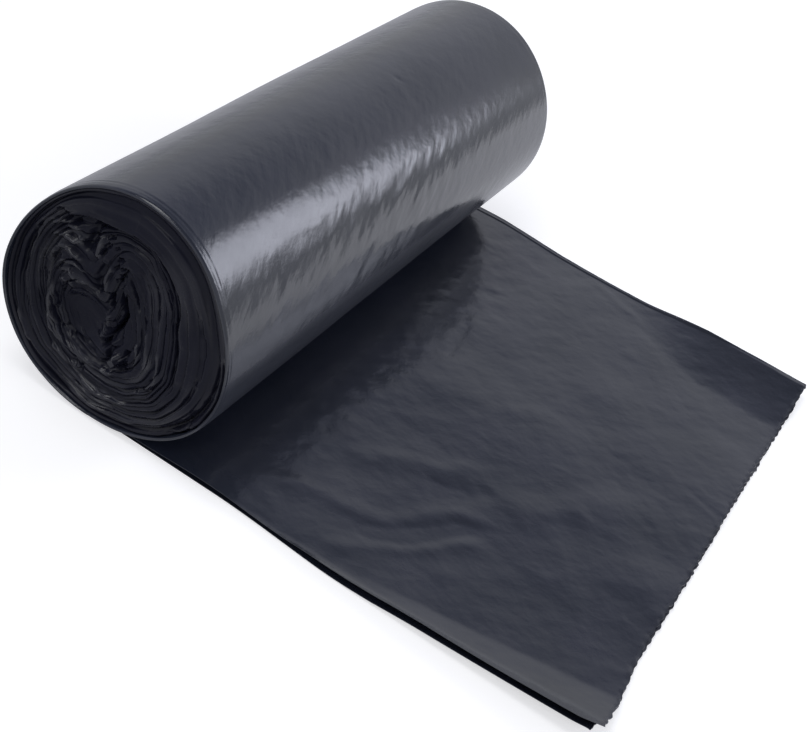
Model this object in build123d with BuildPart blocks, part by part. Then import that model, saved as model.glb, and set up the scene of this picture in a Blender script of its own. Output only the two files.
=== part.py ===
from build123d import *
import os
from math import cos, sin, radians

os.makedirs("parts", exist_ok=True)

# A coreless roll of folded, perforated bin bags, lying on its side with the
# free end of the outermost bag drawn out flat along the table.
# The roll's axis runs along Y, the free end points along +X, and the origin
# is on the table, under the axis, at the middle of the roll's width.
# All lengths are in millimetres.

# Roll
roll_width = 250.0        # width of the folded bags, along Y
roll_radius = 43.0        # mean radius of the wound film
lobe = 0.7                # three shallow bulges left by the soft winding
lobe_angle = 2.0          # first bulge, in degrees from the top towards +X
outline_points = 15       # points that the lobed outline passes through
flat_sink = 0.5           # how far the soft roll settles into its flat spot

# Wound ends
end_recess = 1.5          # the inner turns stand back from the outer ones
core_radius = 29.0        # edge of the inner turns
core_shift = -3.5         # their centre, along X from the axis
turn_pitch = 3.0          # one bundle of folded plies from the next
turn_gap = 0.6            # open crevice between two bundles
gap_depth = 1.2
first_turn_radius = 11.0
turn_count = 9

# Collapsed middle: the core was pulled out, and the turns closed on a slit
slit_top = (-13.0, 24.0)  # from the axis, along X and up
slit_bottom = (0.0, -22.0)
slit_bow = 5.0            # how far the slit's two lips bow towards +X
slit_width = 4.0
slit_depth = 15.0
slit_taper = 4.0          # degrees, closing inwards

# Drawn-out bag
tail_length = 191.0       # from under the axis to the torn edge
tail_start = 8.0          # inside the roll's flat spot
ply = 0.4                 # one fold layer of pressed film
ply_step = 3.0            # each upper ply's far edge lies this much inside
step_end = 0.8            # and this much at the torn edge
lift_start = 130.0        # the free end curls up from here
near_lift = 5.0           # rise of the near corner
far_lift = 6.0            # rise of the far corner
fold_width = 22.0         # puffed fold along the near edge
fold_start = 1.0          # its height at the roll
fold_end = 4.2            # and at the torn edge
station_count = 9         # cross-sections along the drawn-out bag

# Torn perforation
tooth_pitch = 4.5
tooth_depth = 1.2

# Worked-out values
half_width = roll_width / 2
stock_end = tail_length + tooth_depth
axis_height = roll_radius + lobe * cos(radians(3 * (180 - lobe_angle))) - flat_sink
tooth_count = round(roll_width / tooth_pitch)
tooth_width = roll_width / tooth_count


def outline_point(angle):
    """Point of the lobed outline, angle in degrees from the top towards +X."""
    radius = roll_radius + lobe * cos(radians(3 * (angle - lobe_angle)))
    return (radius * sin(radians(angle)), axis_height + radius * cos(radians(angle)))


def tail_section(x):
    """Corners of the drawn-out bag's cross-section at x, as (y, z)."""
    along = (x - tail_start) / (stock_end - tail_start)
    curl = max(0.0, (x - lift_start) / (stock_end - lift_start)) ** 2
    near = near_lift * curl
    far = far_lift * curl
    step = ply_step + (step_end - ply_step) * along
    fold = fold_start + (fold_end - fold_start) * along ** 2
    inner = -half_width + fold_width
    floor_inner = near + (far - near) * fold_width / roll_width
    return [
        (-half_width + ply, near),
        (half_width, far),
        (half_width, far + ply),
        (half_width - step, far + ply),
        (half_width - step, far + 2 * ply),
        (half_width - 2 * step, far + 2 * ply),
        (half_width - 2 * step, far + 3 * ply),
        (inner, floor_inner + 3 * ply),
        (-half_width + fold_width * 0.45, near + 2 * ply + fold * 0.8),
        (-half_width + fold_width * 0.12, near + ply + fold * 0.85),
        (-half_width, near + ply + fold * 0.3),
    ]


# --- Bag roll: the wound film and the drawn-out bag are one piece -------------
with BuildPart() as bag_roll:

    # wound film, with the flat spot that it rests on
    with BuildSketch(Plane.XZ):
        with BuildLine():
            Spline(
                [outline_point(360 * i / outline_points) for i in range(outline_points)],
                periodic=True,
            )
        make_face()
    extrude(amount=half_width, both=True)
    split(bisect_by=Plane.XY, keep=Keep.TOP)

    # drawn-out bag, curling up at its free end
    for i in range(station_count):
        x = tail_start + (stock_end - tail_start) * i / (station_count - 1)
        with BuildSketch(Plane.YZ.offset(x)):
            with BuildLine():
                Polyline(*tail_section(x), close=True)
            make_face()
    loft(ruled=True)

    # both wound ends: the inner turns stand back, crevices run between the
    # turns, and the middle has closed on a slit
    for end in (-1, 1):
        side = -end
        end_plane = Plane((0, end * half_width, axis_height), x_dir=(side, 0, 0), z_dir=(0, end, 0))
        with BuildSketch(end_plane):
            with Locations((side * core_shift, 0)):
                Circle(core_radius)
        extrude(amount=-end_recess, mode=Mode.SUBTRACT)

        with BuildSketch(end_plane):
            with BuildLine():
                for turn in range(turn_count):
                    radius = first_turn_radius + turn * turn_pitch
                    CenterArc((0, 0), radius, 0, 180)
                    CenterArc((side * turn_pitch / 2, 0), radius + turn_pitch / 2, 180, 180)
            trace(line_width=turn_gap)
        extrude(amount=-(end_recess + gap_depth), mode=Mode.SUBTRACT)

        with BuildSketch(end_plane):
            with BuildLine():
                top = (side * slit_top[0], slit_top[1])
                bottom = (side * slit_bottom[0], slit_bottom[1])
                middle_x = side * ((slit_top[0] + slit_bottom[0]) / 2 + slit_bow)
                middle_z = (slit_top[1] + slit_bottom[1]) / 2
                ThreePointArc(top, (middle_x - slit_width / 2, middle_z), bottom)
                ThreePointArc(bottom, (middle_x + slit_width / 2, middle_z), top)
            make_face()
        extrude(amount=-slit_depth, taper=slit_taper, mode=Mode.SUBTRACT)

    # torn perforation: a row of small teeth across the free end
    with BuildSketch(Plane.XY):
        with BuildLine():
            teeth = [(tail_length + 2 * tooth_depth, -half_width - tooth_width / 2)]
            for i in range(tooth_count + 1):
                notch_y = -half_width + tooth_width * i
                teeth.append((tail_length, notch_y - tooth_width / 2))
                teeth.append((tail_length - tooth_depth, notch_y))
            teeth.append((tail_length, half_width + tooth_width / 2))
            teeth.append((tail_length + 2 * tooth_depth, half_width + tooth_width / 2))
            Polyline(*teeth, close=True)
        make_face()
    extrude(amount=axis_height, mode=Mode.SUBTRACT)

bag_roll.part.label = "bag_roll"
export_step(bag_roll.part, "parts/bag_roll.step")
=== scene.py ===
"""Looks of the bin bag roll: a coreless roll of glossy black film with its outer bag drawn out.

Shapes are worked out in millimetres in the row frame (roll axis along Y, drawn-out bag
towards +X, table at z = 0) and turned into metres when each mesh is made.
"""
import math

import bpy
import numpy as np
from mathutils import Matrix, Vector


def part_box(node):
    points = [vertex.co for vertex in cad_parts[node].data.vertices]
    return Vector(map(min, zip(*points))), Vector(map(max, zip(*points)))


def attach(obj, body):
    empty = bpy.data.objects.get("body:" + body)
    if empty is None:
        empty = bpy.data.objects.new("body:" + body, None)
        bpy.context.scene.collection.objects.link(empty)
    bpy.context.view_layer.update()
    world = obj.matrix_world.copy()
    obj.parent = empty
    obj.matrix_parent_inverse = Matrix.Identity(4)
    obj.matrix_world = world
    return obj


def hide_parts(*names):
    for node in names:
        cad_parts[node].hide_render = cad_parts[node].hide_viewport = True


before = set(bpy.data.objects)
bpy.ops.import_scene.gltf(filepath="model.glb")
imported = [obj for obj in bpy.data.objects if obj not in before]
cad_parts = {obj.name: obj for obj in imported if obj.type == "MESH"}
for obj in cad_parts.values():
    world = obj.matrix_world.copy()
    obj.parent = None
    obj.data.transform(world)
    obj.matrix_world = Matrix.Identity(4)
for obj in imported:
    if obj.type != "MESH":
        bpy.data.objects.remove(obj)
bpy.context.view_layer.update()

NODE = "bag_roll"
MM = 0.001

# ---------------------------------------------------------------- driving sizes, mm
node_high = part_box(NODE)[1]
HALF_WIDTH = node_high.y / MM          # half the folded bag's width
TAIL_END = node_high.x / MM            # torn edge
ROLL_TOP = node_high.z / MM
FLAT_SINK = 0.8                        # the roll settles this far into its flat spot
ROLL_RADIUS = (ROLL_TOP + FLAT_SINK) / 2
AXIS_Z = ROLL_RADIUS - FLAT_SINK
TOP_PLY = 0.5                          # thickness of each sheet of the drawn-out bag
TAIL_START = 6.0                       # the sheets begin here, hidden under the roll
TEETH = 56                             # teeth of the torn perforation
PLUG_DEPTH = 16.0                      # hidden wall of the outer turn, behind each wound end
END_WALL = 14.0                        # hidden back of each wound end
SHARP_ANGLE = 38.0                     # degrees; corners above this stay crisp


# ---------------------------------------------------------------- smooth noise
def lattice(ix, iy, iz, seed):
    """A repeatable random number from -1 to 1 for each whole-number lattice point."""
    h = (ix * 374761393 + iy * 668265263 + iz * 1274126177 + seed * 974634777) & 0xFFFFFFFF
    h = ((h ^ (h >> 13)) * 1103515245) & 0xFFFFFFFF
    h = ((h ^ (h >> 16)) * 1540483477) & 0xFFFFFFFF
    return (h ^ (h >> 15)) / 2147483647.5 - 1.0


def noise(x, y, z=0.0, seed=0):
    """Smooth value noise from -1 to 1 on arrays, one bump per unit."""
    x, y, z = np.broadcast_arrays(*(np.asarray(a, float) for a in (x, y, z)))
    cell = [np.floor(a).astype(np.int64) for a in (x, y, z)]
    part = [a - c for a, c in zip((x, y, z), cell)]
    w = [t * t * t * (t * (6 * t - 15) + 10) for t in part]
    total = np.zeros(x.shape)
    for corner in range(8):
        dx, dy, dz = corner & 1, corner >> 1 & 1, corner >> 2 & 1
        weight = (
            (w[0] if dx else 1 - w[0])
            * (w[1] if dy else 1 - w[1])
            * (w[2] if dz else 1 - w[2])
        )
        total += weight * lattice(cell[0] + dx, cell[1] + dy, cell[2] + dz, seed)
    return total


def fbm(x, y, z=0.0, seed=0, octaves=3, gain=0.5):
    """Several sizes of noise added up."""
    total, share, size = 0.0, 1.0, 1.0
    for octave in range(octaves):
        total = total + share * noise(x * size, y * size, z * size, seed + 17 * octave)
        share *= gain
        size *= 2.03
    return total


def creases(x, y, z=0.0, seed=0, sharp=3.0):
    """Thin raised lines where the noise crosses zero, from 0 to 1."""
    return np.clip(1 - np.abs(noise(x, y, z, seed)) * sharp, 0, 1) ** 2


def ramp(value, start, end):
    """0 before start, 1 after end, smooth between; start may be above end."""
    t = np.clip((value - start) / (end - start), 0, 1)
    return t * t * (3 - 2 * t)


def bump(value, centre, width):
    """A soft bump of height 1."""
    return np.exp(-((value - centre) / width) ** 2)


def turn_apart(a, b):
    """Signed difference of two angles in degrees, from -180 to 180."""
    return (a - b + 180.0) % 360.0 - 180.0


# ---------------------------------------------------------------- mesh building
def grid_faces(rows, columns, wrap):
    """Quads of a grid of points, row by row; wrap joins the last column to the first."""
    across = columns if wrap else columns - 1
    i, j = np.meshgrid(np.arange(rows - 1), np.arange(across), indexing="ij")
    k = (j + 1) % columns
    here, above = i * columns, (i + 1) * columns
    return np.stack([here + j, here + k, above + k, above + j], -1).reshape(-1, 4)


def make_mesh(name, points_mm, quads, uv_mm, sheen, triangles=(), flip=False, crisp=False):
    """A smooth-shaded mesh object from millimetre points, with a UV map in metres.

    sheen is each point's gloss, from 0 to 1; crisp keeps sharp corners sharp.
    """
    faces = [list(map(int, f)) for f in quads] + [list(map(int, f)) for f in triangles]
    if flip:
        faces = [f[::-1] for f in faces]
    mesh = bpy.data.meshes.new(name)
    mesh.from_pydata((points_mm * MM).tolist(), [], faces)
    mesh.update()
    mesh.polygons.foreach_set("use_smooth", np.ones(len(mesh.polygons), bool))
    loops = np.empty(len(mesh.loops), np.int32)
    mesh.loops.foreach_get("vertex_index", loops)
    layer = mesh.uv_layers.new(name="film")
    layer.data.foreach_set("uv", (uv_mm[loops] * MM).astype(np.float32).ravel())
    gloss = mesh.attributes.new("sheen", "FLOAT", "POINT")
    gloss.data.foreach_set("value", sheen.astype(np.float32))
    if crisp:
        mesh.set_sharp_from_angle(angle=math.radians(SHARP_ANGLE))
    piece = bpy.data.objects.new(name, mesh)
    bpy.context.scene.collection.objects.link(piece)
    return piece


# ---------------------------------------------------------------- film shapes
def outline_radius(angle, y):
    """Roll radius at an angle in degrees from the top towards +X, and at y along the axis."""
    near = ramp(y, 40.0, -HALF_WIDTH)
    three = 0.5 + 0.75 * near          # how strongly three-lobed, more so at the near end
    return (
        ROLL_RADIUS - 0.25
        + three * np.cos(np.radians(3 * (angle - 1.0)))
        - 0.5 * near * bump(turn_apart(angle, 58.0), 0.0, 18.0)
        + 0.35 * (1 - near) * bump(turn_apart(angle, 30.0), 0.0, 40.0)
    )


def settle(x, z):
    """Presses what would lie under the table flat onto it, with a soft corner."""
    depth = np.clip(2.0 - z, 0, None)
    return np.where(z < 2.0, 2.0 - 2.0 * np.tanh(depth / 2.0), z)


def skin_relief(angle, y):
    """Dents and wrinkles of the outer turn, outwards in mm."""
    arc = np.radians(angle) * ROLL_RADIUS
    lean = y + 1.15 * arc
    # the film is tight near both ends, and wrinkled aslant on the side towards the drawn-out bag
    loose = ramp(y, -108.0, -40.0) * ramp(y, 105.0, 45.0)
    right = ramp(np.abs(turn_apart(angle, 46.0)), 34.0, 14.0)
    slant = (
        ramp(y, 60.0, 10.0)
        * ramp(y, -122.0, -95.0)
        * ramp(np.abs(turn_apart(angle, 67.0)), 24.0, 10.0)
    )
    dents = 0.13 * fbm(arc / 55.0, y / 60.0, seed=3, octaves=2)
    ripples = noise(arc / 30.0, (y + 0.3 * arc) / 5.2, seed=5) * (0.006 + 0.016 * loose)
    folds = noise((arc - 0.5 * y) / 7.5, lean / 2.7, seed=6) * 0.042 * loose * right
    fine = noise((arc - 0.5 * y) / 5.0, lean / 2.0, seed=9) * 0.020 * loose * right
    pulled = 0.06 * loose * right * creases((arc - 0.4 * y) / 11.0, lean / 8.5, seed=8, sharp=4.0)
    pulled = pulled + 0.12 * slant * noise((arc - 0.9 * y) / 12.0, lean / 6.5, seed=10)
    pulled = pulled + 0.045 * slant * noise((arc - 0.9 * y) / 9.0, lean / 3.0, seed=11)
    nicks = -0.18 * bump(angle, 8.0, 2.2) * bump(y, 27.0, 0.8)
    nicks = nicks - 0.2 * bump(angle, 40.0, 1.0) * bump(y, -88.0, 0.8)
    return dents + ripples + folds + fine + pulled + nicks


PLY_EDGES = (0.8, 1.9, 3.4)            # folded plies' edges, from each end
PLY_DROP = 0.12                        # each one's step down


def rim_steps(angle, from_end, seed, share=1.0):
    """The outer plies' folds are staggered at each end: small steps down to the rim."""
    total = 0.0
    cos_a, sin_a = np.cos(np.radians(angle)), np.sin(np.radians(angle))
    for i, place in enumerate(PLY_EDGES):
        edge = place + 0.35 * noise(2.2 * cos_a + 9 * i, 2.2 * sin_a, seed=seed + i)
        patchy = 0.65 + 0.7 * noise(1.7 * cos_a + 5 * i, 1.7 * sin_a, seed=seed + 9)
        clear = (1 - 0.3 * i * ramp(angle, 45.0, 70.0)) * np.clip(patchy, 0.1, 1)
        total = total - PLY_DROP * clear * ramp(from_end, edge + 0.45, edge - 0.45)
        total = total + 0.025 * clear * bump(from_end, edge + 0.7, 0.5)
    return share * total


def roll_skin():
    """The outer turn, with its staggered folds at both ends, closed inside by hidden walls."""
    around = 334
    rim_zone = 8.4                     # rows of points are close together this far from each rim
    angle = np.arange(around) * 360.0 / around - 180.0
    fine = 0.35 * np.arange(24)
    middle = np.linspace(rim_zone, 2 * HALF_WIDTH - rim_zone, 222)
    from_near = np.concatenate([fine, middle, (2 * HALF_WIDTH - fine)[::-1]])
    a, d = np.meshgrid(angle, from_near)
    y = d - HALF_WIDTH
    radius = outline_radius(a, y) + skin_relief(a, y)
    radius = radius + rim_steps(a, d, 30) + rim_steps(a, 2 * HALF_WIDTH - d, 40, share=0.4)
    rim = np.minimum(d, 2 * HALF_WIDTH - d)
    radius = radius - 0.5 * np.clip(1 - rim / 0.8, 0, 1) ** 2
    # the rims aren't quite flat
    sway = 0.5 * noise(1.5 * np.cos(np.radians(a)), 1.5 * np.sin(np.radians(a)), seed=51)
    shift = sway * (ramp(d, 12, 0) - ramp(d, 2 * HALF_WIDTH - 12, 2 * HALF_WIDTH))
    x = radius * np.sin(np.radians(a))
    z = settle(x, AXIS_Z + radius * np.cos(np.radians(a)))
    outer = np.stack([x, y + shift, z], -1)
    # hidden walls: a lip turned in at each end, then a plug wall behind the wound face
    near_lip, far_lip = [], []
    for inset, depth in ((0.35, 0.1), (0.7, 1.0), (1.3, PLUG_DEPTH)):
        for lip, row, way in ((near_lip, outer[0], 1), (far_lip, outer[-1], -1)):
            out = row - np.array([0.0, 0.0, AXIS_Z])
            out[:, 1] = 0
            length = np.linalg.norm(out, axis=1, keepdims=True)
            ring = row - out / length * inset
            ring[:, 1] += way * depth
            lip.append(ring)
    grid = np.concatenate([np.array(near_lip[::-1]), outer, np.array(far_lip)])
    count = grid.shape[0]
    plug = HALF_WIDTH - PLUG_DEPTH
    points = np.concatenate([grid.reshape(-1, 3), [[0, -plug, AXIS_Z], [0, plug, AXIS_Z]]])
    near_middle, far_middle = (np.full(around, len(points) - i) for i in (2, 1))
    quads = grid_faces(count, around, wrap=True)
    here = np.arange(around)
    after = (here + 1) % around
    base = (count - 1) * around
    near_fan = np.stack([after, near_middle, here], -1)
    far_fan = np.stack([far_middle, base + after, base + here], -1)
    arc = np.radians(angle) * ROLL_RADIUS
    uv = np.stack([np.tile(arc, count), points[:-2, 1]], -1)
    uv = np.concatenate([uv, np.zeros((2, 2))])
    # the side turned down towards the drawn-out bag is rubbed dull
    rubbed = ramp(np.abs(turn_apart(angle, 104.0)), 17.0, 8.0) * ramp(grid[..., 1], 75.0, 45.0)
    sheen = np.r_[1 - 0.9 * rubbed.ravel(), 1.0, 1.0]
    return make_mesh("roll_skin", points, quads, uv, sheen, np.concatenate([near_fan, far_fan]))


# ---------------------------------------------------------------- wound ends
def distance_to_line(x, z, line):
    """Distance from points to a broken line, and how far along it the nearest point is, 0 to 1."""
    best = np.full(x.shape, 1e9)
    along = np.zeros(x.shape)
    for i, (p, q) in enumerate(zip(line[:-1], line[1:])):
        d = q - p
        t = np.clip(((x - p[0]) * d[0] + (z - p[1]) * d[1]) / (d @ d), 0, 1)
        gap = np.hypot(x - p[0] - t * d[0], z - p[1] - t * d[1])
        closer = gap < best
        best = np.where(closer, gap, best)
        along = np.where(closer, (i + t) / (len(line) - 1), along)
    return best, along


def along_curve(x, y, curve, width, height, fade=0.18):
    """A rounded ridge or groove of a half width along a broken line, fading at its ends."""
    gap, along = distance_to_line(x, y, np.array(curve, float))
    ends = ramp(along, 0.0, fade) * ramp(along, 1.0, 1.0 - fade)
    return height * ends * np.exp(-(gap / width) ** 2)


# Courses of the turns at the near end, x and height above the table at each of COURSE_ANGLES
COURSE_ANGLES = (0, 20, 40, 60, 80, 100, 120, 140, 160, 180, 200, 220, 240, 260, 280, 300,
                 315, 325, 335, 345, 352)
COURSES = (
    (0.745, (
        (0, 72), (8, 70.3), (15.5, 65.5), (20, 57), (22.3, 48), (24.3, 38), (25.3, 28.5),
        (21.5, 18.5), (12.5, 12.2), (2, 10.3), (-9, 12), (-20, 17.5), (-28.5, 27), (-32.3, 37),
        (-33, 46.5), (-30.5, 57), (-26.5, 63.5), (-22.5, 67.3), (-17, 69.6), (-11, 70.6),
        (-5.5, 71.5)
    )),
    (0.60, (
        (-2, 68.5), (6.5, 67), (12.5, 62), (16.5, 54.5), (18.5, 46.5), (20.3, 38), (21.3, 29.5),
        (18, 20.5), (10.5, 15.2), (2, 13.2), (-8, 14.6), (-17.8, 19.6), (-25.3, 28), (-28.7, 37.5),
        (-29.3, 46), (-27, 55), (-24, 59.8), (-20.5, 60), (-16.8, 57), (-13.5, 63.5), (-8.5, 67.5)
    )),
    (0.45, (
        (-2, 64.5), (4, 63), (9, 57.5), (12, 51), (13.8, 44.5), (15.3, 37.5), (16.8, 30),
        (14.5, 23), (9, 18.6), (2, 16.6), (-7, 17.4), (-15.5, 21.6), (-21.8, 29), (-25, 37.5),
        (-25.3, 44.5), (-22.5, 50.5), (-18.5, 52.2), (-14, 49), (-10.5, 47), (-8.5, 56), (-6, 61.5)
    )),
    (0.30, (
        (-1.5, 58.5), (2.2, 56.5), (5.5, 52), (7.8, 47), (9.3, 42), (10.8, 36.5), (12, 31),
        (10.6, 26), (7, 22.3), (1.5, 20.2), (-6, 20.6), (-13.5, 23.8), (-19, 29.8), (-21.6, 36.3),
        (-21.2, 41.5), (-17.5, 45.5), (-12.5, 45), (-8.5, 42.3), (-5.5, 41.5), (-4.3, 48), (-3, 54)
    )),
    (0.15, (
        (0.2, 49), (2.4, 46.5), (4, 43.5), (5.4, 40), (6.5, 37), (7.3, 34), (7.6, 30.8), (6.6, 28),
        (4.5, 25.6), (0.8, 24), (-4.5, 24.4), (-10.5, 27), (-15.3, 31.4), (-17.4, 35.6),
        (-15.5, 38.6), (-10.5, 39.6), (-6, 38), (-3, 36.6), (-1.2, 36.8), (-0.8, 41), (-0.6, 45.5)
    )),
    (0.0, tuple((-1.0, 31.0) for _ in COURSE_ANGLES)),
)
# Bundles of turns between the rim, 1, and the middle, 0
BUNDLES = (1.0, 0.955, 0.915, 0.86, 0.80, 0.745, 0.69, 0.645, 0.60, 0.53, 0.45, 0.385, 0.30,
           0.235, 0.15, 0.07, 0.0)
PLY_SHARE = 0.028                      # one turn's share of the way from rim to middle

# Gaps between the crumpled turns: course in x and height, half width, depth in mm
GAPS = (
    (((-14.5, 69), (-15.6, 63), (-17.4, 55.5)), 1.4, -2.4),
    (((-16, 66.5), (-12.5, 68.8), (-8, 70.4)), 0.8, -2.0),
    (((-9.8, 56), (-10.4, 49), (-9.8, 42.5)), 1.3, -2.0),
    (((-5.2, 46.5), (-4.2, 40.5)), 0.9, -2.6),
    (((-2.4, 50), (-0.8, 45.5), (1.5, 41), (1.0, 37), (-0.2, 34), (-1.2, 30),
      (-1.8, 26)), 0.7, -5.0),
    (((1.2, 30), (0.5, 26), (1.4, 22.5), (-2.0, 21.2)), 1.0, -2.6),
    (((6.2, 31), (6.4, 27), (5.8, 22.5)), 0.9, -2.0),
    (((-10, 70), (0, 71.7), (7, 70.6), (12, 67.8), (18, 61.5), (20.2, 56), (20.2, 49.5), (22, 44.5),
      (23.6, 38), (24.6, 30), (24, 23)), 0.75, -2.2),
    (((-32, 63), (-34.6, 54), (-36, 45), (-36, 37), (-33.5, 29), (-29, 22)), 0.7, -1.5),
    (((-24, 53.5), (-27.8, 45), (-28.4, 38), (-27.2, 31), (-23.5, 24)), 1.7, -1.8),
    (((-23, 43), (-22.4, 36), (-21.4, 30.5), (-19, 26.6), (-14, 25), (-8, 24.6),
      (-3, 22)), 0.8, -1.8),
    (((-29, 66.5), (-24, 64)), 1.3, -1.8),
    (((-22.8, 67), (-22, 63)), 0.9, -1.6),
    (((1.5, 60), (6, 53.5), (8.6, 47), (9.8, 41)), 0.9, -1.1),
    (((5, 63), (10, 57), (12.6, 50), (13.6, 44)), 0.9, -0.8),
    (((-1, 56), (3.2, 50.5), (5.4, 44)), 0.8, -1.0),
    (((14, 61), (16.6, 55), (17.6, 48)), 1.1, -1.0),
    (((13, 19), (16, 21), (19.2, 23)), 0.6, -1.6),
    (((26, 62), (30.5, 53), (32.8, 46), (33.4, 38), (31.5, 28), (28, 21)), 0.7, -1.3),
    (((36, 52), (38.8, 43), (39.2, 35), (37.8, 29), (36, 24.5), (33.5, 19), (29.5, 14),
      (23, 8.6)), 0.9, -1.8),
    (((38.5, 52), (41.2, 44), (42, 38), (41, 30), (38, 23)), 0.9, -1.8),
    (((35, 22.5), (34.8, 17.5), (31, 13.6), (26, 10)), 0.6, -1.6),
    (((-11.2, 18.8), (-9, 14.6)), 0.8, -1.3),
    (((-7.2, 18), (-7, 14.2)), 0.7, -1.3),
    (((-10, 9.8), (0, 8.4), (9, 8.8)), 0.6, -1.2),
    (((-11.6, 64.2), (-8.0, 66.2)), 0.5, -2.2),
    (((-11.4, 60.4), (-9.4, 63.2)), 0.5, -2.2),
    (((-11.6, 57.2), (-10.2, 60.2)), 0.5, -2.2),
    (((-7.6, 61.8), (-5.2, 63.6)), 0.45, -1.6),
    (((-6.6, 58.2), (-3.4, 60.2)), 0.45, -1.6),
    (((-6.6, 55), (-4.6, 57.4)), 0.5, -2.2),
    (((-4.2, 56.2), (-1.2, 57.8)), 0.45, -1.8),
    (((-3.8, 53.8), (-1.2, 55.4)), 0.45, -1.8),
    (((-4.4, 51.6), (-2.2, 53.4)), 0.45, -1.8),
)
# Folds standing up between them, the same way
FOLDS = (
    (((-25.4, 43), (-24.6, 36), (-23.6, 30.5), (-21, 25), (-17, 22), (-11, 20), (-5, 19),
      (-0.4, 18)), 0.9, 1.5),
    (((-20, 18.4), (-14, 15.8), (-6, 14.6)), 0.9, 1.3),
    (((-8, 11.8), (0, 11), (6, 11.6), (13, 13.4)), 0.9, 1.4),
    (((-12, 6.4), (0, 5.4), (10, 5.8), (19, 8)), 0.9, 1.0),
    (((-34.5, 25), (-31.5, 19), (-26, 13)), 0.8, 1.2),
    (((3.4, 28.6), (4.0, 25.4), (3.8, 21.6)), 1.1, 2.4),
    (((-1.5, 19.5), (1.5, 18.5), (4, 21)), 1.0, 1.4),
    (((2.2, 25.2), (3.7, 26.0), (5.0, 25.0)), 0.8, 3.4),
    (((10.4, 43), (12, 37), (13.6, 32), (14.6, 27)), 0.7, 0.9),
    (((15.6, 38), (17.4, 32.5), (18.4, 26), (16, 21.5)), 0.7, 0.9),
    (((7.5, 35), (9.8, 31.5), (10.6, 27)), 0.8, 1.1),
    (((-30, 61), (-25, 62.6), (-19.4, 61.6)), 0.9, 1.4),
    (((-29.4, 57), (-24.5, 58.6), (-20.5, 57.6), (-18.2, 60)), 0.9, 1.4),
    (((-27, 54), (-21.5, 54.2), (-16, 52.4)), 0.9, 1.2),
    (((-25, 48.8), (-19.5, 50.4), (-14.5, 49)), 0.8, 1.2),
    (((-24, 45.6), (-20.5, 47.2), (-17, 44.4), (-12.5, 46)), 0.7, 1.1),
    (((-22.6, 43.4), (-17.5, 41.2)), 0.7, 0.9),
    (((-13.2, 66), (-12.8, 60), (-12.6, 55)), 0.8, 1.2),
    (((-7.4, 56), (-7.6, 50), (-7.0, 45)), 0.9, 1.2),
    (((-3.6, 40), (-3.4, 34), (-4, 29)), 0.7, 0.9),
)


def smooth_round(values, places, spread):
    """Values given round a circle, drawn smoothly through evenly spread places, in degrees."""
    fine = np.arange(720) * 0.5
    line = np.interp(fine, np.r_[COURSE_ANGLES, 360], np.r_[values, values[:1]])
    kernel = np.exp(-0.5 * (turn_apart(fine, 0.0) / spread) ** 2)
    line = np.real(np.fft.ifft(np.fft.fft(line) * np.fft.fft(kernel / kernel.sum())))
    return np.interp(places, np.r_[fine, 360], np.r_[line, line[:1]])


def ring_levels(fractions):
    """Rings of points from the rim inwards: level, bundle, place in it, turn, place in that."""
    rings = []
    for b, (outer, inner) in enumerate(zip(BUNDLES[:-1], BUNDLES[1:])):
        plies = max(1, round((outer - inner) / PLY_SHARE))
        for k in range(plies):
            for f in fractions:
                share = (k + f) / plies
                rings.append((outer + (inner - outer) * share, b, share, k, f))
    return np.array([r for r in rings if r[0] > 0.012]).T


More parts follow.
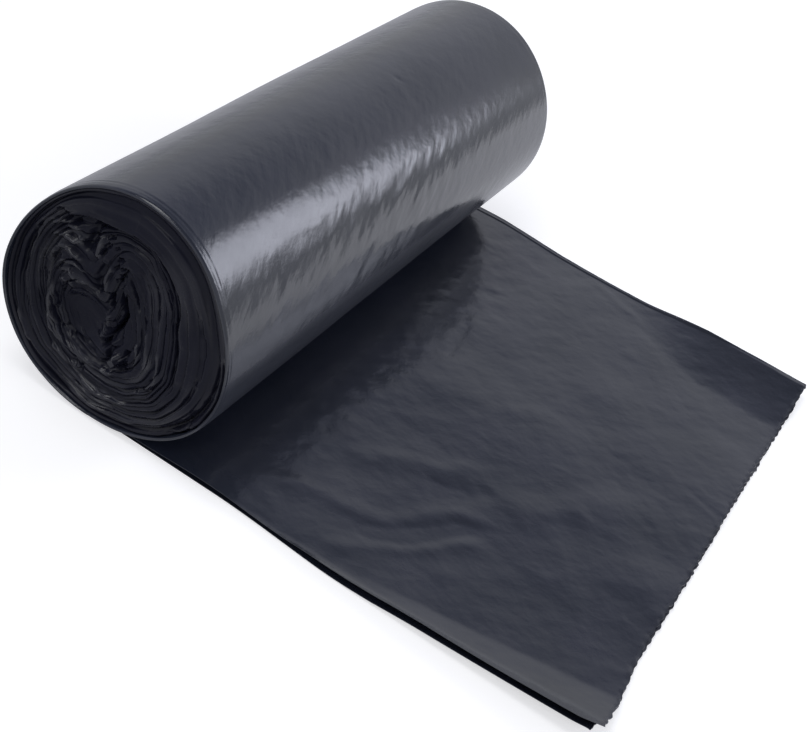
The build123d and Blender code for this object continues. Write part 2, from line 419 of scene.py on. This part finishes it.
def wound_end(name, side, fractions, around, seed, share):
    """One end of the roll: the folded bags' edges wound round a collapsed, crumpled middle.

    side is -1 for the near end and 1 for the far one, fractions are the places of a turn's rings
    of points, and share is how strongly the near end's own gaps and folds are drawn.
    """
    rng = np.random.default_rng(seed)
    level, bundle, in_bundle, ply, in_ply = ring_levels(fractions)
    # places round the ring, closer together where the turns fold in to the middle
    fine = np.arange(0, 361, 2.0)
    sample = COURSES[2][1]
    course = np.stack([smooth_round([p[i] for p in sample], fine % 360, 3.5) for i in (0, 1)])
    run = np.r_[0, np.cumsum(np.hypot(*np.diff(course, axis=1)) + 0.9)]
    theta = np.interp(np.arange(around) / around * run[-1], run, fine)
    t, rho = np.meshgrid(theta, level)
    b, fb, k, f = (np.broadcast_to(v[:, None], rho.shape) for v in (bundle, in_bundle, ply, in_ply))
    cos_t, sin_t = np.cos(np.radians(t)), np.sin(np.radians(t))

    rim_radius = outline_radius(theta, -HALF_WIDTH) - 1.15
    turned = np.radians(theta)
    courses = [(1.0, np.stack([rim_radius * np.sin(turned), rim_radius * np.cos(turned)]))]
    for place, points in COURSES:
        xs = smooth_round([p[0] for p in points], theta, 3.0)
        zs = smooth_round([p[1] - AXIS_Z for p in points], theta, 3.0)
        courses.append((place, np.stack([xs, zs])))
    places = np.array([c[0] for c in courses])[::-1]
    stack = np.stack([c[1] for c in courses])[::-1]
    x, z = (
        np.stack([np.interp(level, places, stack[:, i, j]) for j in range(around)], 1)
        for i in (0, 1)
    )
    wander = 0.45 * ramp(rho, 1.0, 0.9) * ramp(rho, 0.0, 0.15)
    x = x + wander * fbm(1.6 * cos_t + 4, 1.6 * sin_t, rho * 6, seed=seed + 1, octaves=3)
    z = z + wander * fbm(1.6 * cos_t, 1.6 * sin_t + 7, rho * 6, seed=seed + 2, octaves=3)
    up = z + AXIS_Z

    # the smooth outer band at the top right, and the smooth pocket left of the middle
    band = ramp(rho, 0.745, 0.765) * ramp(rho, 0.93, 0.90)
    band = band * ramp(np.abs(turn_apart(t, 8.0)), 66.0, 38.0)
    pocket = ramp(np.hypot((x + 12.5) / 8.0, (up - 34.0) / 7.2), 1.15, 0.75)
    calm = 1 - np.clip(0.94 * band + 0.9 * pocket, 0, 1)
    low = ramp(up, 30.0, 12.0)

    # bundles of turns standing a little proud of each other, each with finer plies
    bundles = len(BUNDLES) - 1
    stand_out = rng.normal(0, 0.35, bundles)
    crown = rng.uniform(0.25, 0.8, bundles)
    gap_depth = rng.uniform(0.3, 1.1, bundles + 1)
    tilt = rng.uniform(0.0, 0.9, bundles)
    number = b.astype(int)
    lean = stand_out[number] + 0.7 * noise(1.3 * cos_t, 1.3 * sin_t, b * 1.7, seed=seed + 3)
    outer_gap, inner_gap = (
        np.clip(0.30 + noise(1.6 * cos_t, 1.6 * sin_t, place * 1.3, seed=seed + 4), 0.0, 1.2)
        for place in (b, b + 1)
    )
    crevice = gap_depth[number] * outer_gap * np.exp(-fb / 0.12)
    crevice = crevice + gap_depth[number + 1] * inner_gap * np.exp(-(1 - fb) / 0.12)
    lines = 0.35 + 1.2 * noise(2.1 * cos_t, 2.1 * sin_t, b * 2.3 + k * 0.8, seed=seed + 5)
    lines = np.clip(lines, 0.0, 1.3)
    ply_lean = 0.16 * noise(1.9 * cos_t, 1.9 * sin_t, b * 3.1 + k * 1.1, seed=seed + 9)
    swing = noise(1.1 * cos_t, 1.1 * sin_t, b * 2.9, seed=seed + 14)
    terrace = (0.45 + 0.75 * low) * (0.4 + tilt[number] + 1.3 * swing) * (fb - 0.5)
    height = calm * (lean + terrace + 0.8 * crown[number] * np.sin(np.pi * fb) ** 0.8 - crevice)
    ply_line = np.exp(-f / 0.15) + np.exp(-(1 - f) / 0.15)
    height = height + calm * (ply_lean - 0.22 * lines * ply_line)
    height = height - 0.03 * (1 - calm) * lines * np.exp(-f / 0.12)
    height = height + 0.5 * band * fbm(1.8 * cos_t, 1.8 * sin_t, rho * 9, seed=seed + 13, octaves=2)

    # telescoped turns: the inner ones stand back behind the smooth outer band
    step = ramp(rho, 0.750, 0.725)
    step_depth = 0.6 + 2.0 * ramp(np.abs(turn_apart(t, 35.0)), 105.0, 55.0)
    height = height - 0.9 - step * step_depth - 0.9 * ramp(rho, 0.6, 0.1)
    height = height - 0.7 * ramp(rho, 0.985, 0.96)
    height = height + 1.1 * band - 1.6 * pocket
    bent_x = x + 0.35 * noise(x / 3.0, z / 3.0, seed=seed + 11)
    bent_z = up + 0.35 * noise(x / 3.0, z / 3.0, 4.0, seed=seed + 12)
    for curve, width, size in GAPS:
        height = height + along_curve(bent_x, bent_z, curve, width, share * size)
    streaks = 0.55 * noise(1.3 * cos_t, 1.3 * sin_t, rho * 15, seed=seed + 15)
    streaks = streaks + 0.3 * noise(1.5 * cos_t, 1.5 * sin_t, rho * 37, seed=seed + 16)
    smooth_film = 0.25 * low + np.clip(streaks + 0.1, 0, 1) * ramp(rho, 0.1, 0.4)
    for curve, width, size in FOLDS:
        fold = along_curve(bent_x, bent_z, curve, width, share * size)
        height = height + fold
        smooth_film = smooth_film + 0.8 * ramp(fold, 0.2, 1.0) + 2.0 * ramp(fold, 1.4, 2.0)
    crumple = ramp(rho, 0.95, 0.55) * calm
    upper_left = np.exp(-((x + 22) / 9) ** 2 - ((up - 57) / 9) ** 2)
    coarse = fbm(x / 5.5, z / 4.2, 0.7, seed=seed + 6, octaves=3)
    height = height + (0.28 + 0.5 * upper_left) * crumple * coarse
    height = height + 0.45 * fbm(x / 12.0, z / 12.0, 2.2, seed=seed + 7, octaves=2)
    grainy = fbm(x / 1.9, z / 1.9, 5.2, seed=seed + 8, octaves=2)
    height = height + 0.10 * (0.35 + 0.65 * crumple) * grainy
    height = np.minimum(height, 0.6)

    points = np.stack([x, side * (HALF_WIDTH + height), AXIS_Z + z], -1)
    points[..., 2] = settle(points[..., 0], points[..., 2]) + 0.25
    rows = len(level)
    wall = points[0].copy()
    wall[:, 1] = side * (HALF_WIDTH - END_WALL)
    points = np.concatenate([wall[None], points]).reshape(-1, 3)
    front = points[-around:].mean(0)
    back = np.array([0, side * (HALF_WIDTH - END_WALL), AXIS_Z])
    points = np.concatenate([points, [front, back]])
    front_index, back_index = (np.full(around, len(points) - i) for i in (2, 1))
    quads = grid_faces(rows + 1, around, wrap=True)
    here = np.arange(around)
    after = (here + 1) % around
    base = rows * around
    inner = np.stack([base + here, base + after, front_index], -1)
    outer = np.stack([after, here, back_index], -1)
    uv_around = np.tile(turned * 20, rows + 1)
    uv_inwards = np.repeat(np.r_[1.0, level] * 42, around)
    uv = np.concatenate([np.stack([uv_around, uv_inwards], -1), np.zeros((2, 2))])
    sheen = np.r_[np.zeros(around), np.clip(smooth_film, 0, 1).ravel(), 0.0, 0.0]
    return make_mesh(name, points, quads, uv, sheen, np.concatenate([inner, outer]), flip=side > 0)


# ---------------------------------------------------------------- drawn-out bag
def tail_floor(x, y):
    """Height of the drawn-out bag's underside: flat, then curling up at the free corners."""
    out = np.clip((x - 112.0) / 79.0, 0, None)      # 1 at the torn edge
    far_start = 117.0 - 29.0 * ramp(x, 80.0, 160.0) + 2.5 * noise(x / 14.0, 0.5, seed=67)
    far_strip = np.clip((y - far_start) / 34.0, 0, 1)
    near_width = 5.5 + 17.0 * np.clip((x - 100.0) / 91.0, 0, 1)
    near_strip = np.clip(1 - (y + HALF_WIDTH) / near_width, 0, 1) ** 1.15
    near_curl = 5.0 * near_strip * (0.25 * ramp(x, 90.0, 130.0) + 0.75 * out)
    far_curl = 5.8 * ramp(x, 78.0, 142.0) * far_strip ** 1.35 * (0.62 + 0.30 * out)
    mid = 1.2 - 1.0 * ramp(y, 10.0, 80.0)
    return mid * out ** 2 + near_curl + far_curl


# The film's soft folds: course in x and y, half width, height in mm
SWELLS = (
    (((49, -111), (59, -103), (68, -97), (78, -95), (90, -93), (97, -90), (102, -84), (106, -77),
      (111, -70), (116, -66), (122, -61), (129, -56)), 4.2, 0.34),
    (((86, -119), (92, -113), (97, -108), (105, -100), (112, -93), (115.5, -87), (119, -81),
      (126, -74), (131, -70)), 3.2, 0.28),
    (((88, -101), (96, -98), (104, -93), (110, -86), (114, -79), (118, -72),
      (127, -63)), 4.4, -0.30),
    (((70, -72), (76, -66), (84, -58), (93, -54), (101, -50), (106, -43), (114, -36)), 4.5, 0.24),
    (((98, -63), (106, -58), (114, -53), (120, -45)), 4.5, -0.24),
    (((128, -54), (136, -45), (143, -35), (150, -26)), 5.0, 0.24),
    (((88, 119), (96, 116), (105, 112), (114, 109), (122, 104)), 2.6, 0.16),
    (((172, 18), (180, 15), (191, 11)), 1.8, -0.10),
    (((66, 40), (68, 26), (70, 10)), 1.7, -0.20),
    (((60, -14), (80, -8), (104, 2), (125, 14)), 6.0, 0.14),
    (((120, -50), (134, -40), (150, -22), (168, 0)), 6.0, 0.16),
)


def tail_swells(x, y):
    """Soft swells and fine wrinkles of the top ply, upwards in mm."""
    flat = ramp(x, 52.0, 78.0)
    total = 0.42 * fbm(x / 52.0, y / 46.0, seed=61, octaves=2)
    fine = 0.032 * fbm((x + 0.5 * y) / 9.0, (y - 0.6 * x) / 5.5, seed=62, octaves=3)
    fine = fine + 0.042 * fbm(x / 6.5, y / 8.0, seed=63, octaves=2)
    fine = fine + 0.05 * ramp(x, 80.0, 62.0) * fbm(x / 4.5, y / 5.0, seed=66, octaves=2)
    total = flat * total + ramp(x, 38.0, 48.0) * fine
    for curve, width, height in SWELLS:
        total = total + along_curve(x, y, curve, width, height)
    return total


def near_edge_rise(x, y):
    """The fold along the near edge stays open and tips the top ply's edge up."""
    lift = 0.3 + 0.6 * ramp(x, 40.0, 60.0) + 0.9 * ramp(x, 66.0, 92.0)
    from_edge = y + HALF_WIDTH
    round_width = 3.5 + 4.0 * ramp(x, 120.0, 191.0)
    round_edge = np.clip(1 - from_edge / round_width, 0, 1) ** 1.6
    return lift * (0.5 * round_edge + 0.5 * ramp(from_edge, 50.0, 0.0))


def torn_edge(y, offset):
    """How far each tooth of the torn perforation reaches, in mm from the torn line."""
    corner = 1.6 * ramp(y, -72.0, -108.0)
    y = y + offset
    pitch = 2 * HALF_WIDTH / TEETH
    saw = np.abs(((y + HALF_WIDTH) / pitch) % 1.0 - 0.5) * 2
    ragged = 0.30 * noise(y / 3.1, 0.5, seed=71) + 0.4 * noise(y / 37.0, 2.5, seed=72)
    return ragged - 0.45 * saw + 0.28 * noise(y / 1.3, 6.5, seed=73) + corner


def tail_sheet(name, top_of, columns, rows, near_inset, far_inset, end_inset, teeth_shift):
    """A closed thin sheet from inside the nip to the torn edge.

    top_of gives its upper height, the insets say how far its edges stand back from the bag's,
    and teeth_shift moves its teeth along the torn edge.
    """
    # places along the bag and across it, closer together at the torn and far edges
    last = 1 - 2.0 / TAIL_END
    along = np.linspace(0, last, columns - 4) ** 0.94 * last ** 0.06
    along = np.r_[along, last + (1 - last) * np.array([0.3, 0.55, 0.8, 1])]
    close = 6.0 / (2 * HALF_WIDTH)
    across = np.r_[np.linspace(0, 1 - close, rows - 14), np.linspace(1 - close, 1, 15)[1:]]
    s, v = np.meshgrid(along, across)
    near = -HALF_WIDTH + near_inset(s * TAIL_END)
    far = HALF_WIDTH - far_inset(s * TAIL_END)
    y = near + (far - near) * v
    x = TAIL_START + (TAIL_END - TAIL_START - end_inset(y) + torn_edge(y, teeth_shift)) * s
    # the film is stretched, crinkled and duller where it tore
    torn = ramp(s, 1 - 1.8 / TAIL_END, 1 - 0.3 / TAIL_END)
    top = top_of(x, y) + torn * (0.20 * noise(y / 1.6, x / 1.5, seed=74) - 0.06)
    edge = np.minimum(v, 1 - v) * 2 * HALF_WIDTH
    # thinner at its long edges, and never under the table
    thick = TOP_PLY * (1 - 0.6 * np.clip(1 - edge / 0.8, 0, 1) ** 2)
    under = np.maximum(top - thick, 0.02)
    upper = np.stack([x, y, np.maximum(top, under + 0.12)], -1)
    lower = np.stack([x, y, under], -1)
    count = columns * rows
    points = np.concatenate([upper.reshape(-1, 3), lower.reshape(-1, 3)])
    quads = grid_faces(rows, columns, wrap=False)
    back = quads[:, ::-1] + count
    loop = np.concatenate([
        np.arange(columns),
        np.arange(1, rows) * columns + columns - 1,
        (rows - 1) * columns + np.arange(columns - 2, -1, -1),
        np.arange(rows - 2, 0, -1) * columns,
    ])
    after = np.roll(loop, -1)
    side = np.stack([after, loop, loop + count, after + count], -1)
    uv = np.stack([math.pi * ROLL_RADIUS - points[:, 0], points[:, 1]], -1) * 0.35
    sheen = np.tile((1 - 0.5 * torn).ravel(), 2)
    return make_mesh(name, points, np.concatenate([quads, back, side]), uv, sheen, crisp=True)


def far_overhang(x):
    """How far the lower plies reach past the top ply along the far edge."""
    return 4.6 - 3.5 * x / TAIL_END


def tail_upper(x, y):
    """The top ply's upper side, apart from its fold along the far edge."""
    sides = ramp(y, 45.0, 105.0) + ramp(y, -90.0, -114.0)
    base = tail_floor(x, y) + 0.75 + ramp(x, 16.0, 44.0) + 1.1 * sides * ramp(x, 74.0, 40.0)
    return base + np.maximum(tail_swells(x, y), -0.5) + near_edge_rise(x, y)


def tail_top(x, y):
    """The top ply, with its fold along the far edge standing up a little."""
    to_edge = HALF_WIDTH - far_overhang(x) - y
    return tail_upper(x, y) + 0.26 * ramp(to_edge, 1.1, 0.1) * ramp(x, 188.0, 150.0)


def tail_lower(x, y):
    """The lower plies' upper side, close under the top ply along the far edge."""
    beyond = np.clip(y - HALF_WIDTH + far_overhang(x), 0, None)
    against_top = tail_upper(x, y) - TOP_PLY - 0.05
    low = np.minimum(tail_floor(x, y) + TOP_PLY + 0.02, against_top)
    low = low + ramp(y, 94.0, 114.0) * (against_top - low)
    return low - 0.05 * bump(beyond, 0.62 * far_overhang(x), 0.4)


def top_near_inset(x):
    """The top ply's near edge stands back beside the roll and at the free corner."""
    return 2.4 * ramp(x, 100.0, 45.0) + 2.6 * ramp(x, 182.0, 192.0)


def lower_near_inset(x):
    """The lower plies' near edge stands back beside the roll."""
    return 3.0 * ramp(x, 105.0, 45.0) + 0.6 * ramp(x, 184.0, 191.0)


def lower_end_inset(y):
    """The lower plies end a little short of the torn line at the near corner."""
    return 0.1 + 3.6 * ramp(y, -104.0, -122.0)


# ---------------------------------------------------------------- material
def film_material(name, dark, light, dull, glossy, rough_low, rough_high, rough_dull):
    """Black film: fine crinkles, drawing lines aslant, patchy haze.

    Its colour is patchy between dark and light, and its roughness between rough_low and
    rough_high. The gloss goes from dull to glossy with sheen, and rough_dull is added where
    sheen is 0.
    """
    material = bpy.data.materials.new(name)
    material.use_nodes = True
    nodes, links = material.node_tree.nodes, material.node_tree.links
    nodes.clear()
    output = nodes.new("ShaderNodeOutputMaterial")
    film = nodes.new("ShaderNodeBsdfPrincipled")
    film.inputs["IOR"].default_value = 1.52
    links.new(film.outputs["BSDF"], output.inputs["Surface"])
    coords = nodes.new("ShaderNodeTexCoord")

    def noise_node(scale, detail, roughness=0.5, stretch=None, source="Object", turn=0.0):
        texture = nodes.new("ShaderNodeTexNoise")
        texture.inputs["Scale"].default_value = scale
        texture.inputs["Detail"].default_value = detail
        texture.inputs["Roughness"].default_value = roughness
        if stretch is None:
            links.new(coords.outputs[source], texture.inputs["Vector"])
        else:
            mapping = nodes.new("ShaderNodeMapping")
            mapping.inputs["Scale"].default_value = stretch
            turned = nodes.new("ShaderNodeVectorRotate")
            turned.rotation_type = "Z_AXIS"
            turned.inputs["Angle"].default_value = turn
            links.new(coords.outputs[source], turned.inputs["Vector"])
            links.new(turned.outputs["Vector"], mapping.inputs["Vector"])
            links.new(mapping.outputs["Vector"], texture.inputs["Vector"])
        return texture

    def spread(source, low, high, out_low, out_high):
        node = nodes.new("ShaderNodeMapRange")
        node.inputs["From Min"].default_value = low
        node.inputs["From Max"].default_value = high
        node.inputs["To Min"].default_value = out_low
        node.inputs["To Max"].default_value = out_high
        links.new(source, node.inputs["Value"])
        return node.outputs["Result"]

    # uneven colour, then haze that scatters the gloss
    tint = nodes.new("ShaderNodeValToRGB")
    tint.color_ramp.elements[0].position = 0.3
    tint.color_ramp.elements[0].color = dark
    tint.color_ramp.elements[1].position = 0.7
    tint.color_ramp.elements[1].color = light
    links.new(noise_node(28, 4).outputs["Fac"], tint.inputs["Fac"])
    links.new(tint.outputs["Color"], film.inputs["Base Color"])

    sheen = nodes.new("ShaderNodeAttribute")
    sheen.attribute_name = "sheen"
    haze = noise_node(60, 5, 0.6)
    rough = nodes.new("ShaderNodeMath")
    rough.operation = "ADD"
    links.new(spread(haze.outputs["Fac"], 0.3, 0.7, rough_low, rough_high), rough.inputs[0])
    links.new(spread(sheen.outputs["Fac"], 0.0, 1.0, rough_dull, 0.0), rough.inputs[1])
    links.new(rough.outputs["Value"], film.inputs["Roughness"])
    gloss = spread(sheen.outputs["Fac"], 0.0, 1.0, dull, glossy)
    links.new(gloss, film.inputs["Specular IOR Level"])

    # fine crinkles, drawing lines and a softer unevenness add up to one relief
    crinkle = noise_node(300, 4, 0.65)
    lines = noise_node(1.0, 2, 0.5, stretch=(60, 300, 1), source="UV", turn=0.86)
    soft = noise_node(110, 2)
    height = nodes.new("ShaderNodeMath")
    height.operation = "MULTIPLY_ADD"
    height.inputs[1].default_value = 0.5
    links.new(crinkle.outputs["Fac"], height.inputs[0])
    links.new(soft.outputs["Fac"], height.inputs[2])
    both = nodes.new("ShaderNodeMath")
    both.operation = "MULTIPLY_ADD"
    both.inputs[1].default_value = 0.5
    links.new(lines.outputs["Fac"], both.inputs[0])
    links.new(height.outputs["Value"], both.inputs[2])
    relief = nodes.new("ShaderNodeBump")
    relief.inputs["Strength"].default_value = 0.5
    relief.inputs["Distance"].default_value = 0.0003
    links.new(both.outputs["Value"], relief.inputs["Height"])
    links.new(relief.outputs["Normal"], film.inputs["Normal"])
    return material


# ---------------------------------------------------------------- stage
CAMERA_PLACE = (0.18803, -0.48140, 0.34015)
CAMERA_AZIMUTH, CAMERA_ELEVATION, CAMERA_TURN = 15.01, 34.69, 22.92
CAMERA_LENS = 70.54


def make_camera():
    """Above the near end, to the right, turned as a hand-held shot."""
    azimuth = math.radians(CAMERA_AZIMUTH)
    elevation = math.radians(CAMERA_ELEVATION)
    turn = math.radians(CAMERA_TURN)
    back = Vector((math.sin(azimuth) * math.cos(elevation),
                   -math.cos(azimuth) * math.cos(elevation),
                   math.sin(elevation)))
    right = (-back).cross(Vector((0, 0, 1))).normalized()
    up = right.cross(-back)
    turned_right = math.cos(turn) * right + math.sin(turn) * up
    turned_up = -math.sin(turn) * right + math.cos(turn) * up
    data = bpy.data.cameras.new("camera")
    data.lens = CAMERA_LENS
    data.sensor_width = 36.0
    data.clip_start = 0.01
    camera = bpy.data.objects.new("camera", data)
    matrix = Matrix((turned_right, turned_up, back)).transposed().to_4x4()
    matrix.translation = Vector(CAMERA_PLACE)
    camera.matrix_world = matrix
    bpy.context.scene.collection.objects.link(camera)
    bpy.context.scene.camera = camera


def make_floor():
    """A plain pale table, white to the camera; in the film's gloss it shows a painted reflection, a
    glow darker to the left.
    """
    half = 4.0
    corners = [(-half, -half, 0), (half, -half, 0), (half, half, 0), (-half, half, 0)]
    mesh = bpy.data.meshes.new("floor")
    mesh.from_pydata(corners, [], [(0, 1, 2, 3)])
    floor = bpy.data.objects.new("floor", mesh)
    bpy.context.scene.collection.objects.link(floor)
    material = bpy.data.materials.new("pale_table")
    material.use_nodes = True
    nodes, links = material.node_tree.nodes, material.node_tree.links
    surface = nodes["Principled BSDF"]
    surface.inputs["Base Color"].default_value = (0.62, 0.62, 0.63, 1)
    surface.inputs["Roughness"].default_value = 0.9
    surface.inputs["Specular IOR Level"].default_value = 0.0
    path = nodes.new("ShaderNodeLightPath")
    coords = nodes.new("ShaderNodeTexCoord")
    parts = nodes.new("ShaderNodeSeparateXYZ")
    links.new(coords.outputs["Object"], parts.inputs["Vector"])
    # painted reflection: a glow only the film's gloss sees, over 0.4 m left and right of the roll,
    # dim left, pale right
    place = nodes.new("ShaderNodeMapRange")
    place.inputs["From Min"].default_value = -0.4
    place.inputs["From Max"].default_value = 0.4
    links.new(parts.outputs["X"], place.inputs["Value"])
    painted_reflection_ramp = nodes.new("ShaderNodeValToRGB")
    stops = painted_reflection_ramp.color_ramp.elements
    stops[0].color = (0.20, 0.20, 0.21, 1)
    stops[1].color = (0.80, 0.80, 0.82, 1)
    for spot, value in ((0.30, 0.03), (0.50, 0.12), (0.60, 0.38), (0.69, 0.62)):
        stop = stops.new(spot)
        stop.color = (value * 0.98, value * 0.99, value * 1.05, 1)
    links.new(place.outputs["Result"], painted_reflection_ramp.inputs["Fac"])
    # the painted reflection's glow, for glossy rays only
    painted_reflection_glow = nodes.new("ShaderNodeEmission")
    links.new(painted_reflection_ramp.outputs["Color"], painted_reflection_glow.inputs["Color"])
    links.new(path.outputs["Is Glossy Ray"], painted_reflection_glow.inputs["Strength"])
    # lifts the table to white for the camera, and leaves the shadow on it
    glow = nodes.new("ShaderNodeEmission")
    lift = nodes.new("ShaderNodeMath")
    lift.operation = "MULTIPLY"
    lift.inputs[1].default_value = 0.56
    links.new(path.outputs["Is Camera Ray"], lift.inputs[0])
    links.new(lift.outputs["Value"], glow.inputs["Strength"])
    both = nodes.new("ShaderNodeAddShader")
    links.new(painted_reflection_glow.outputs["Emission"], both.inputs[0])
    links.new(glow.outputs["Emission"], both.inputs[1])
    add = nodes.new("ShaderNodeAddShader")
    links.new(surface.outputs["BSDF"], add.inputs[0])
    links.new(both.outputs["Shader"], add.inputs[1])
    links.new(add.outputs["Shader"], nodes["Material Output"].inputs["Surface"])
    floor.data.materials.append(material)


# Height above the horizon, brightness, and how bluish
SKY = (
    (0.20, 0.73, 0.3),
    (0.36, 0.80, 0.7),
    (0.50, 0.80, 0.7),
    (0.58, 0.68, 1.0),
    (0.66, 0.45, 1.6),
    (0.80, 0.20, 0.8),
)


def make_world():
    """A soft studio: pale walls, darker overhead."""
    world = bpy.data.worlds.new("studio")
    bpy.context.scene.world = world
    world.use_nodes = True
    nodes, links = world.node_tree.nodes, world.node_tree.links
    background = nodes["Background"]
    coords = nodes.new("ShaderNodeTexCoord")
    parts = nodes.new("ShaderNodeSeparateXYZ")
    links.new(coords.outputs["Generated"], parts.inputs["Vector"])
    sky = nodes.new("ShaderNodeValToRGB")
    stops = sky.color_ramp.elements
    stops[0].color = (0.70, 0.72, 0.77, 1)
    stops[1].color = (0.20, 0.21, 0.22, 1)
    for place, value, cool in SKY:
        stop = stops.new(place)
        red, green, blue = 1 - 0.04 * cool, 1 - 0.01 * cool, 1 + 0.15 * cool
        stop.color = (value * red, value * green, value * blue, 1)
    links.new(parts.outputs["Z"], sky.inputs["Fac"])
    links.new(sky.outputs["Color"], background.inputs["Color"])
    background.inputs["Strength"].default_value = 0.96


COOL = (0.93, 0.96, 1.10)
PLAIN = (1.0, 1.0, 1.0)
# Name, place, what it points at, width and height, all in metres, then watts and colour
LAMPS = (
    ("side_panel", (0.86, 1.0, 0.65), (0, 0, 0.05), 0.47, 0.56, 2.8, COOL),
    ("side_spill", (0.90, 1.0, 0.62), (0, 0, 0.05), 0.70, 0.74, 2.0, COOL),
    ("front_panel", (-0.15, -1.45, 1.55), (0, -0.1, 0.04), 0.8, 0.6, 5.0, PLAIN),
    ("overhead", (-0.45, -0.30, 1.8), (0, 0, 0), 0.9, 0.9, 10.0, PLAIN),
)


def soft_box(name, place, aim, width, height, power, colour):
    """A rectangular studio lamp."""
    data = bpy.data.lights.new(name, "AREA")
    data.shape = "RECTANGLE"
    data.size, data.size_y = width, height
    data.energy = power
    data.color = colour
    lamp = bpy.data.objects.new(name, data)
    lamp.location = place
    lamp.rotation_mode = "QUATERNION"
    lamp.rotation_quaternion = (Vector(aim) - Vector(place)).to_track_quat("-Z", "Y")
    bpy.context.scene.collection.objects.link(lamp)


# ---------------------------------------------------------------- build
make_camera()
make_floor()
make_world()
for lamp in LAMPS:
    soft_box(*lamp)
bpy.context.scene.view_settings.view_transform = "Standard"

film = film_material(
    "black_film", dark=(0.0110, 0.0140, 0.0228, 1), light=(0.0175, 0.0200, 0.0315, 1),
    dull=0.30, glossy=0.5, rough_low=0.13, rough_high=0.21, rough_dull=0.45,
)
# the wound ends get a darker copy of the film's colour: painted shade of the crevices between the
# turns
edges = film_material(
    "black_film_edges_painted_shade", dark=(0.0060, 0.0065, 0.0120, 1), light=(0.0105, 0.0110, 0.0190, 1),
    dull=0.10, glossy=0.45, rough_low=0.20, rough_high=0.32, rough_dull=0.0,
)
made = [
    roll_skin(),
    wound_end("near_end", -1, (0.0, 0.14, 0.5, 0.86), around=640, seed=101, share=1.0),
    wound_end("far_end", 1, (0.0, 0.2, 0.6), around=480, seed=202, share=0.75),
    tail_sheet(
        "drawn_bag", tail_top, columns=168, rows=270, near_inset=top_near_inset,
        far_inset=far_overhang, end_inset=lambda y: 0.7, teeth_shift=0.0,
    ),
    tail_sheet(
        "lower_plies", tail_lower, columns=100, rows=270, near_inset=lower_near_inset,
        far_inset=lambda x: 0.0, end_inset=lower_end_inset, teeth_shift=13.0,
    ),
]
for piece in made:
    piece.data.materials.append(edges if piece.name.endswith("end") else film)
    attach(piece, "root")
    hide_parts(NODE)
